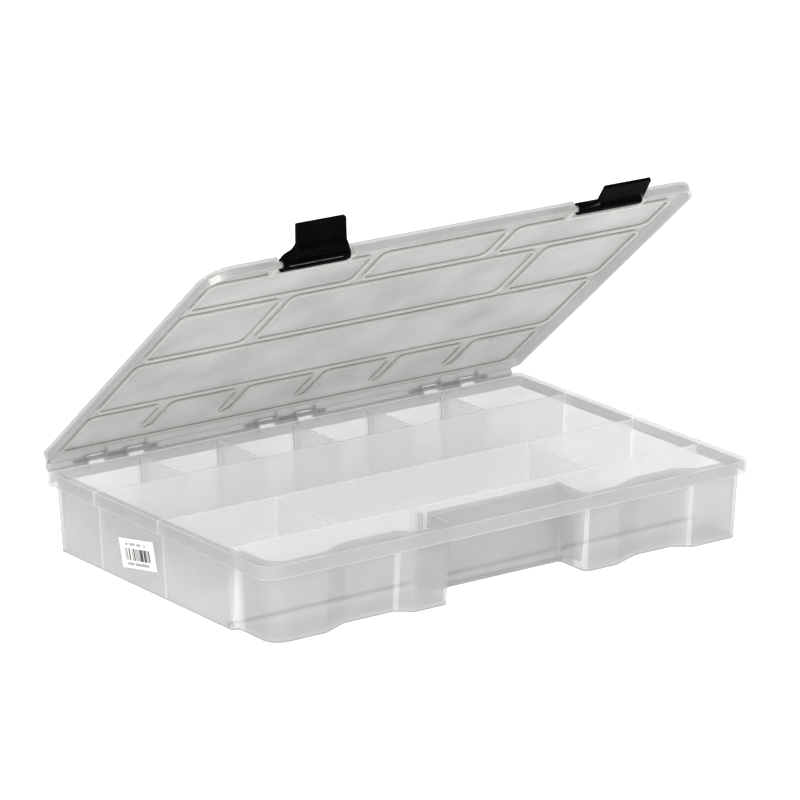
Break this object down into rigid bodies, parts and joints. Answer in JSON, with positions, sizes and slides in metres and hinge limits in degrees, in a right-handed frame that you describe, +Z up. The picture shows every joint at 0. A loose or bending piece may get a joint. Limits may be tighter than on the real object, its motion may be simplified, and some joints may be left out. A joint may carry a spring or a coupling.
{
  "type": "fishing tackle box",
  "caption": "Flat translucent compartment tackle box with a hinged lid standing open, black snap latches and loose dividers that lift out",
  "frame": {"origin": "centre of the flat underside of the tray, on the surface the box stands on", "axes": "+X along the long side to the right as seen from the latch side, +Y from the latch side to the hinge side, +Z up"},
  "size_m": [0.356, 0.2433, 0.2344],
  "materials": {
    "tray_plastic": "translucent frosted moulded polypropylene",
    "lid_plastic": "translucent frosted moulded polypropylene",
    "divider_plastic": "translucent frosted moulded polypropylene",
    "latch_plastic": "satin black moulded plastic",
    "pin_steel": "plain drawn steel wire",
    "label_film": "white printed film label"
  },
  "bodies": {
    "tray": {"base_tray": "tray_plastic", "hinge_pins": "pin_steel", "barcode_label": "label_film"},
    "lid": {"lid": "lid_plastic"},
    "latch_left": {"latch_left": "latch_plastic"},
    "latch_right": {"latch_right": "latch_plastic"},
    "divider_back_1": {"divider_back_1": "divider_plastic"},
    "divider_back_2": {"divider_back_2": "divider_plastic"},
    "divider_back_3": {"divider_back_3": "divider_plastic"},
    "divider_back_4": {"divider_back_4": "divider_plastic"},
    "divider_back_5": {"divider_back_5": "divider_plastic"},
    "divider_middle_1": {"divider_middle_1": "divider_plastic"},
    "divider_middle_2": {"divider_middle_2": "divider_plastic"}
  },
  "joints": [
    {"name": "lid_hinge", "type": "hinge", "parent": "tray", "child": "lid", "pos_m": [0, 0.122, 0.05], "axis": [-1, 0, 0], "range_deg": [-40, 140]},
    {"name": "latch_left_pivot", "type": "hinge", "parent": "lid", "child": "latch_left", "pos_m": [-0.104, -0.06343, 0.20938], "axis": [-1, 0, 0], "range_deg": [-118.5, 50]},
    {"name": "latch_right_pivot", "type": "hinge", "parent": "lid", "child": "latch_right", "pos_m": [0.109, -0.06343, 0.20938], "axis": [-1, 0, 0], "range_deg": [-84, 84]},
    {"name": "divider_back_1_slide", "type": "slide", "parent": "tray", "child": "divider_back_1", "axis": [0, 0, 1], "range_m": [0, 0.01]},
    {"name": "divider_back_2_slide", "type": "slide", "parent": "tray", "child": "divider_back_2", "axis": [0, 0, 1], "range_m": [0, 0.01]},
    {"name": "divider_back_3_slide", "type": "slide", "parent": "tray", "child": "divider_back_3", "axis": [0, 0, 1], "range_m": [0, 0.01]},
    {"name": "divider_back_4_slide", "type": "slide", "parent": "tray", "child": "divider_back_4", "axis": [0, 0, 1], "range_m": [0, 0.01]},
    {"name": "divider_back_5_slide", "type": "slide", "parent": "tray", "child": "divider_back_5", "axis": [0, 0, 1], "range_m": [0, 0.01]},
    {"name": "divider_middle_1_slide", "type": "slide", "parent": "tray", "child": "divider_middle_1", "axis": [0, 0, 1], "range_m": [0, 0.05]},
    {"name": "divider_middle_2_slide", "type": "slide", "parent": "tray", "child": "divider_middle_2", "axis": [0, 0, 1], "range_m": [0, 0.05]}
  ]
}
